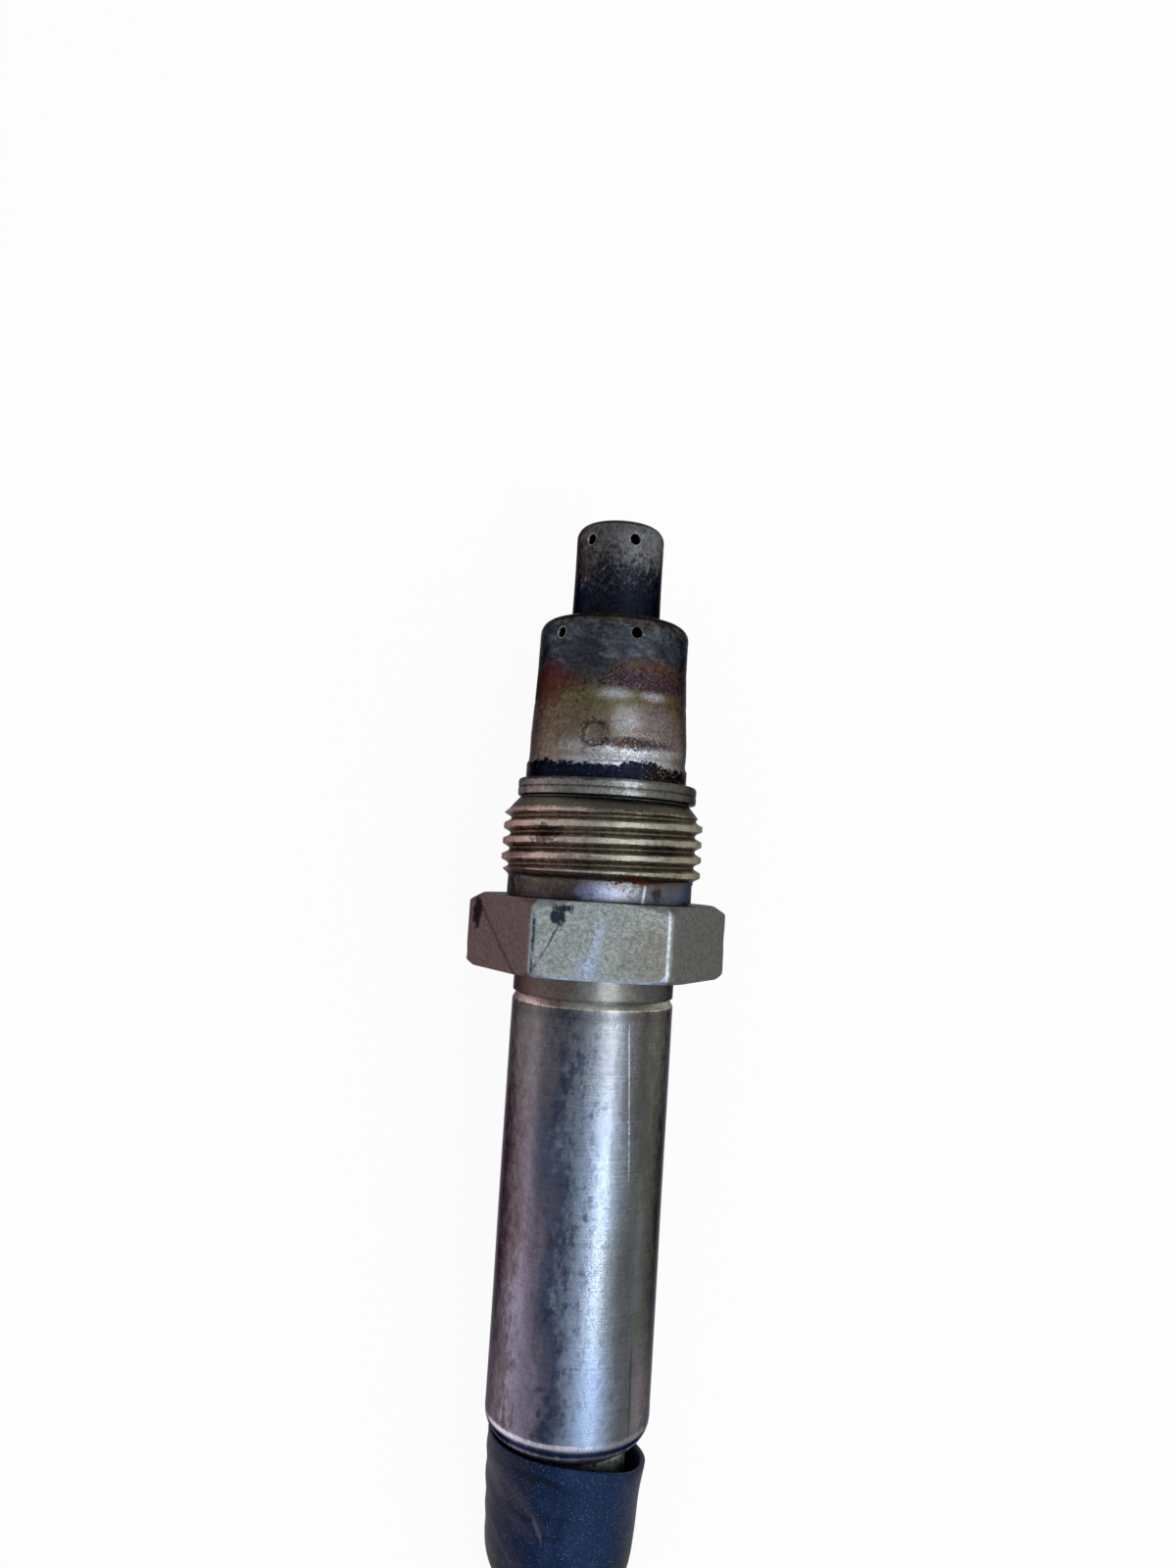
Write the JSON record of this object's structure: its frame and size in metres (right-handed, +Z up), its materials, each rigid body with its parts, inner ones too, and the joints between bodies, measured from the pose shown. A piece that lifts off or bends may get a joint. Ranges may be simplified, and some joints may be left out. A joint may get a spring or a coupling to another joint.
{
  "type": "oxygen sensor",
  "caption": "Threaded exhaust gas sensor: perforated tip tubes, hexagon housing, long steel rear shell, rubber boot, and a coiled cable with a sealed connector.",
  "frame": {"origin": "on the ground, under the middle of the sensor's box without its free cable", "axes": "+Z up; +Y along the ground towards the sensor's tip; +X across, to the right seen from above with the tip ahead. The sensor lies on its side, so its own axis rises 4.43 degrees towards +Y"},
  "size_m": [0.0827, 0.2053, 0.0248],
  "materials": {
    "tube_steel": "heat-stained, straw at the foot and blue-black at the front, with rust specks",
    "tip_steel": "blackened by heat and soot",
    "ring_steel": "worn satin with dark edges",
    "housing_steel": "satin, oily thread, matte hexagon with scratches",
    "shell_steel": "satin stainless steel, lightly stained",
    "plain_steel": "plain",
    "white_ceramic": "fired, unglazed",
    "element_ceramic": "fired, smooth",
    "talc": "pressed powder",
    "wire_covering": "smooth",
    "grommet_rubber": "matte",
    "boot_rubber": "soft blue-black rubber with dust specks",
    "cable_sheath": "satin black sheath",
    "tie_plastic": "black nylon",
    "connector_plastic": "fine-grained dark grey moulding",
    "lock_plastic": "light grey moulding",
    "terminal_brass": "bright",
    "seal_rubber": "orange silicone"
  },
  "bodies": {
    "root": {"outer_protection_tube": "tube_steel", "inner_protection_tube": "tip_steel", "seal_ring": "ring_steel", "hex_housing": "housing_steel", "sensing_element": "element_ceramic", "front_bush": "white_ceramic", "talc_seal": "talc", "rear_bush": "white_ceramic", "packing_ring": "plain_steel", "rear_shell": "shell_steel", "contact_holder_upper": "white_ceramic", "contact_holder_lower": "white_ceramic", "holder_clamp": "plain_steel", "contact_springs": "plain_steel", "crimp_sleeves": "plain_steel", "lead_wires": "wire_covering", "grommet": "grommet_rubber", "rubber_boot": "boot_rubber", "cable": "cable_sheath", "cable_coil": "cable_sheath", "coil_tie": "tie_plastic", "cable_tail": "cable_sheath", "connector_body": "connector_plastic", "connector_rear_cap": "connector_plastic", "connector_lock": "lock_plastic", "connector_terminals": "terminal_brass", "connector_wire_seal": "seal_rubber", "connector_leads": "wire_covering"}
  },
  "joints": []
}
